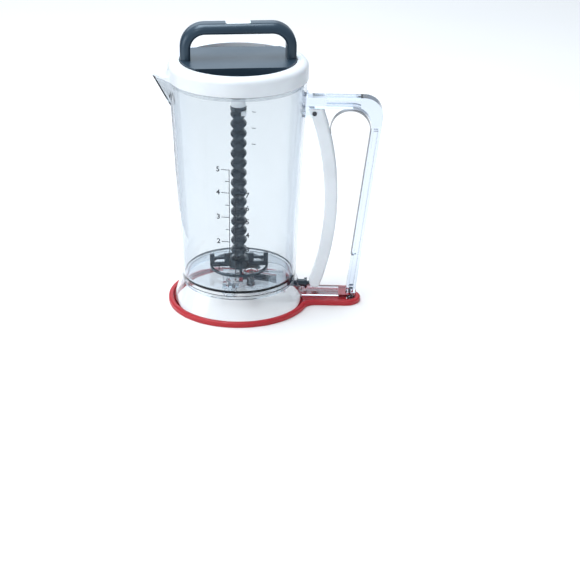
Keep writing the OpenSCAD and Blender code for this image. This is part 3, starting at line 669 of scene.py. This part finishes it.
class DISPENSER_OT_mixer(bpy.types.Operator):
    """Gives the arch handle its slate plastic, and the stem's seal its rubber"""

    bl_idname = "dispenser.mixer"
    bl_label = "Arch handle"

    def execute(self, context):
        dress("mixer_handle", moulded("Slate plastic", context.scene.dispenser_colours.slate,
                                      rough=0.30, gloss=SLATE_GLOSS))
        dress("stem_seal", moulded("Black rubber", RUBBER_BLACK, rough=0.5, grain=0.04 * MM))
        return {"FINISHED"}


class DISPENSER_OT_steel_parts(bpy.types.Operator):
    """Gives the spring strip, pin, clip and screws their drawn steel"""

    bl_idname = "dispenser.steel_parts"
    bl_label = "Spring, pin and screws"

    def execute(self, context):
        colours = context.scene.dispenser_colours
        steel = drawn_steel("Drawn steel", colours.steel)
        for node in ("return_spring", "hub_clip", "housing_screws", "handle_screw"):
            dress(node, steel)
        # The pin's steel colour is painted dark, a painted reflection of dark surroundings.
        dress("pivot_pin", drawn_steel("Dark pin steel", colours.pin_steel))
        return {"FINISHED"}


# ---------------------------------------------------------------- printed scales

# Front scales, in millimetres: x of the upright line, side that the ticks point to,
# x of the numbers, length of the ticks, and (number, height) from the top down
FRONT_SCALES = (
    (-4.9, -1, -14.6, 7.0,
     ((5, 143.5), (4, 122.5), (3, 99.9), (2, 76.9), (1, 52.0))),
    (0.1, 1, 10.4, 6.0,
     ((7, 120.3), (6, 108.0), (5, 95.5), (4, 82.9), (3, 69.4), (2, 55.2), (1, 39.1))),
)
MIDDLE_TICK = 0.5  # length of the ticks between numbers, as a share of the others
REAR_MARKS = (188.0, 173.0, 158.0, 143.0, 128.0)  # heights in millimetres
REAR_START, REAR_END = 9 * MM, 13 * MM
FRONT, BACK = -1, 1
WALL_LOW_Z, WALL_LOW_RADIUS = 24 * MM, 50.8 * MM
WALL_HIGH_Z, WALL_HIGH_RADIUS = 207.5 * MM, 59.2 * MM
INK_BOTTOM, INK_TOP = 0.015 * MM, 0.06 * MM  # of a line, out from the wall
NUMBER_LIFT = 0.05 * MM
NUMBER_THICKNESS = 0.02 * MM
NUMBER_STEPS = 3
STROKE_GROWTH = 0.13 * MM  # makes the strokes of the numbers wider
DIGIT_SHARE = 0.72  # height of a digit as a share of the type's size
BEND_STEP_X, BEND_STEP_Z = 1 * MM, 12 * MM  # longest flat run of a line, across and up


def wall_radius(z):
    """Outer radius of the jug's wall at a height."""
    flare = WALL_HIGH_RADIUS - WALL_LOW_RADIUS
    return WALL_LOW_RADIUS + flare * (z - WALL_LOW_Z) / (WALL_HIGH_Z - WALL_LOW_Z)


def on_wall(x, z, side, lift):
    """The point on the front or back wall at x along the wall's arc and height z."""
    radius = wall_radius(z) + lift
    angle = x / radius
    return Vector((radius * math.sin(angle), side * radius * math.cos(angle), z))


def printed_bar(bm, x0, x1, z0, z1, side=FRONT):
    """A printed line as a thin raised strip that follows the wall."""
    columns = max(2, int(abs(x1 - x0) / BEND_STEP_X) + 1)
    rows = max(2, int(abs(z1 - z0) / BEND_STEP_Z) + 1)
    xs = [x0 + (x1 - x0) * i / (columns - 1) for i in range(columns)]
    zs = [z0 + (z1 - z0) * j / (rows - 1) for j in range(rows)]
    low, high = [[[bm.verts.new(on_wall(x, z, side, lift)) for x in xs] for z in zs]
                 for lift in (INK_BOTTOM, INK_TOP)]
    for layer in (low, high):
        for row, above in zip(layer, layer[1:]):
            for i in range(columns - 1):
                bm.faces.new((row[i], row[i + 1], above[i + 1], above[i]))
    rim = ([(0, i) for i in range(columns)]
           + [(j, columns - 1) for j in range(1, rows)]
           + [(rows - 1, i) for i in range(columns - 2, -1, -1)]
           + [(j, 0) for j in range(rows - 2, 0, -1)])
    for (j, i), (next_j, next_i) in zip(rim, rim[1:] + rim[:1]):
        bm.faces.new((low[j][i], low[next_j][next_i], high[next_j][next_i], high[j][i]))


def printed_tick(bm, x, end, z, half, side=FRONT):
    """A level printed line between two places on the wall, in either order."""
    printed_bar(bm, min(x, end), max(x, end), z - half, z + half, side)


def printed_number(bm, value, x, z, height):
    """A plain number on the front wall, set in the built-in type and bent to the wall."""
    text = bpy.data.curves.new("number", "FONT")
    text.body = str(value)
    text.size = height / DIGIT_SHARE
    text.align_x = "CENTER"
    text.align_y = "CENTER"
    text.extrude = NUMBER_THICKNESS
    text.offset = STROKE_GROWTH
    text.resolution_u = NUMBER_STEPS
    holder = bpy.data.objects.new("number", text)
    bpy.context.scene.collection.objects.link(holder)
    bpy.context.view_layer.update()
    mesh = holder.evaluated_get(bpy.context.evaluated_depsgraph_get()).to_mesh()
    first = len(bm.verts)
    bm.from_mesh(mesh)
    bm.verts.ensure_lookup_table()
    for vertex in bm.verts[first:]:
        flat = vertex.co.copy()
        vertex.co = on_wall(x + flat.x, z + flat.y, FRONT, NUMBER_LIFT + flat.z)
    bpy.data.objects.remove(holder)
    bpy.data.curves.remove(text)


class DISPENSER_OT_scales(bpy.types.Operator):
    """Prints the two front scales with plain numbers and the graduations at the back"""

    bl_idname = "dispenser.scales"
    bl_label = "Printed scales"

    def execute(self, context):
        sizes = context.scene.dispenser_sizes
        ink = scale_ink(context.scene.dispenser_colours.ink)
        half = sizes.line_width / 2
        bm = bmesh.new()
        for line_x, way, number_x, length, marks in FRONT_SCALES:
            x = line_x * MM
            heights = [height * MM for value, height in marks]
            printed_bar(bm, x - half, x + half, min(heights) - half, max(heights) + half)
            for (value, height), z in zip(marks, heights):
                printed_tick(bm, x, x + way * length * MM, z, half)
                printed_number(bm, value, number_x * MM, z, sizes.digit_height)
            for lower, upper in zip(heights[1:], heights):
                end = x + way * length * MIDDLE_TICK * MM
                printed_tick(bm, x, end, (lower + upper) / 2, half)
        add_piece("front_scales", bm, ink, "jug")
        bm = bmesh.new()
        for height in REAR_MARKS:
            printed_tick(bm, REAR_START, REAR_END, height * MM, half, BACK)
        add_piece("rear_scale", bm, ink, "jug")
        return {"FINISHED"}


# ---------------------------------------------------------------- stage

CAMERA_PLACE = Vector((73.864, -1301.874, 609.611)) * MM
CAMERA_TURN, CAMERA_TILT, CAMERA_ROLL = 1.226, 24.786, 0.644  # degrees
SENSOR_WIDTH = 36
CLIP_START, CLIP_END = 0.05, 40
MATT = 0.9
FLOOR_SHINE = 0.1
FLOOR_DARK, FLOOR_LIGHT = (0.92, 0.92, 0.92, 1), (0.94, 0.94, 0.94, 1)
CARD_COLOUR = (0.04, 0.045, 0.05, 1)
CARD_PLACES = (("card_left", -0.17), ("card_right", 0.30))
CARD_NEAR, CARD_FAR = 0.02, 0.30
CARD_LOW, CARD_HIGH = 0.002, 0.30
SKY_LOW, SKY_HIGH = (0.80, 0.89, 1.0, 1), (0.97, 0.985, 1.0, 1)
# Softboxes: name, setting that holds the power, place, point it faces, width, height, colour
SOFTBOXES = (
    ("Top light", "top_light", (-0.2, 0.05, 1.3), (0, 0, 0.2), 0.9, 0.6, (0.90, 0.95, 1.0)),
    ("Back light", "back_light", (-0.55, 1.5, 1.0), (0, 0, 0.2), 1.6, 0.8, (0.72, 0.87, 1.0)),
    ("Key light", "key_light", (-1.3, -0.5, 0.5), (0, 0, 0.2), 0.8, 0.7, (1, 1, 1)),
    ("Front light", "front_light", (-0.4, -1.2, 1.3), (0, 0, 0.15), 0.28, 0.28, (1, 1, 1)),
)
CLEAR_BOUNCES = 32
SEE_THROUGH_BOUNCES = 24


def plain_panel(name, corners, material):
    """A flat four-cornered panel of the stage."""
    bm = bmesh.new()
    bm.faces.new([bm.verts.new(c) for c in corners])
    mesh = bpy.data.meshes.new(name)
    bm.to_mesh(mesh)
    bm.free()
    panel = bpy.data.objects.new(name, mesh)
    bpy.context.scene.collection.objects.link(panel)
    mesh.materials.append(material)
    return panel


def lay_floor(size):
    """The pale matt floor."""
    floor, tree, shader = new_material("Pale floor")
    shader.inputs["Roughness"].default_value = MATT
    shader.inputs["Specular IOR Level"].default_value = FLOOR_SHINE
    patches = object_noise(tree, scale=3, detail=2)
    tree.links.new(shade_between(tree, patches, FLOOR_DARK, FLOOR_LIGHT),
                   shader.inputs["Base Color"])
    half = size / 2
    plain_panel("floor", [(-half, -half, 0), (half, -half, 0), (half, half, 0),
                          (-half, half, 0)], floor)


def hang_cards():
    """Dark cards beside the jug, seen only as reflections that draw the clear edges."""
    card, _, shader = new_material("Dark card")
    shader.inputs["Base Color"].default_value = CARD_COLOUR
    shader.inputs["Roughness"].default_value = MATT
    for name, x in CARD_PLACES:
        panel = plain_panel(name, [(x, CARD_NEAR, CARD_LOW), (x, CARD_FAR, CARD_LOW),
                                   (x, CARD_FAR, CARD_HIGH), (x, CARD_NEAR, CARD_HIGH)], card)
        panel.visible_transmission = False
        panel.visible_camera = False
        panel.visible_shadow = False
        panel.visible_diffuse = False


def light_sky(scene, strength):
    """The even studio light, a little bluer low down than overhead."""
    world = bpy.data.worlds.new("Studio")
    scene.world = world
    world.use_nodes = True
    sky = world.node_tree
    background = sky.nodes["Background"]
    coords = sky.nodes.new("ShaderNodeTexCoord")
    split = sky.nodes.new("ShaderNodeSeparateXYZ")
    ramp = sky.nodes.new("ShaderNodeValToRGB")
    ramp.color_ramp.elements[0].color = SKY_LOW
    ramp.color_ramp.elements[1].color = SKY_HIGH
    sky.links.new(coords.outputs["Generated"], split.inputs["Vector"])
    sky.links.new(split.outputs["Z"], ramp.inputs["Fac"])
    sky.links.new(ramp.outputs["Color"], background.inputs["Color"])
    background.inputs["Strength"].default_value = strength


def softbox(name, power, place, aim, width, height, colour):
    """An area light that faces a point."""
    light = bpy.data.lights.new(name, "AREA")
    light.shape = "RECTANGLE"
    light.size, light.size_y = width, height
    light.energy = power
    light.color = colour
    holder = bpy.data.objects.new(name, light)
    bpy.context.scene.collection.objects.link(holder)
    holder.location = place
    holder.rotation_mode = "QUATERNION"
    holder.rotation_quaternion = (Vector(aim) - Vector(place)).to_track_quat("-Z", "Y")


def camera_frame():
    """The camera's right, up and back directions."""
    turn, tilt, roll = (math.radians(a) for a in (CAMERA_TURN, CAMERA_TILT, CAMERA_ROLL))
    back = Vector((math.sin(turn) * math.cos(tilt), -math.cos(turn) * math.cos(tilt),
                   math.sin(tilt)))
    right = (-back).cross(Vector((0, 0, 1))).normalized()
    up = right.cross(-back)
    return (right * math.cos(roll) + up * math.sin(roll),
            up * math.cos(roll) - right * math.sin(roll), back)


def place_camera(scene, lens):
    """The camera at the photograph's viewing angle."""
    camera = bpy.data.cameras.new("Camera")
    camera.sensor_width = SENSOR_WIDTH
    camera.lens = lens
    camera.clip_start, camera.clip_end = CLIP_START, CLIP_END
    holder = bpy.data.objects.new("Camera", camera)
    scene.collection.objects.link(holder)
    turn = Matrix(camera_frame()).transposed().to_4x4()
    holder.matrix_world = Matrix.Translation(CAMERA_PLACE) @ turn
    scene.camera = holder


class DISPENSER_OT_stage(bpy.types.Operator):
    """Lays the pale floor, hangs the dark cards and softboxes, and sets up the camera"""

    bl_idname = "dispenser.stage"
    bl_label = "Studio"

    def execute(self, context):
        scene = context.scene
        settings = scene.dispenser_stage
        lay_floor(settings.floor_size)
        hang_cards()
        light_sky(scene, settings.sky)
        for name, setting, *placing in SOFTBOXES:
            softbox(name, getattr(settings, setting), *placing)
        place_camera(scene, settings.lens)
        scene.view_settings.view_transform = "Standard"
        scene.cycles.max_bounces = CLEAR_BOUNCES
        scene.cycles.transmission_bounces = CLEAR_BOUNCES
        scene.cycles.transparent_max_bounces = SEE_THROUGH_BOUNCES
        return {"FINISHED"}


# ---------------------------------------------------------------- add-on

OPERATORS = (
    DISPENSER_OT_stage,
    DISPENSER_OT_clear_parts,
    DISPENSER_OT_white_parts,
    DISPENSER_OT_mixer,
    DISPENSER_OT_mixing_rod,
    DISPENSER_OT_steel_parts,
    DISPENSER_OT_foot_ring,
    DISPENSER_OT_scales,
)


class DISPENSER_PT_looks(bpy.types.Panel):
    """Settings and steps of the dispenser's looks"""

    bl_idname = "DISPENSER_PT_looks"
    bl_label = "Batter dispenser"
    bl_space_type = "VIEW_3D"
    bl_region_type = "UI"
    bl_category = "Dispenser"

    def draw(self, context):
        layout = self.layout
        for group in ("dispenser_colours", "dispenser_sizes", "dispenser_stage"):
            settings = getattr(context.scene, group)
            box = layout.box()
            for name in settings.__annotations__:
                box.prop(settings, name)
        for operator in OPERATORS:
            layout.operator(operator.bl_idname)


CLASSES = (DispenserColours, DispenserSizes, DispenserStage, *OPERATORS, DISPENSER_PT_looks)


def register():
    """Registers the classes and hangs the settings on the scene."""
    for cls in CLASSES:
        bpy.utils.register_class(cls)
    bpy.types.Scene.dispenser_colours = PointerProperty(type=DispenserColours)
    bpy.types.Scene.dispenser_sizes = PointerProperty(type=DispenserSizes)
    bpy.types.Scene.dispenser_stage = PointerProperty(type=DispenserStage)


def unregister():
    """Takes the settings and the classes away again."""
    del bpy.types.Scene.dispenser_stage
    del bpy.types.Scene.dispenser_sizes
    del bpy.types.Scene.dispenser_colours
    for cls in reversed(CLASSES):
        bpy.utils.unregister_class(cls)


def main():
    """Runs every step in order."""
    register()
    for operator in OPERATORS:
        group, name = operator.bl_idname.split(".")
        getattr(getattr(bpy.ops, group), name)()


if __name__ == "__main__":
    main()
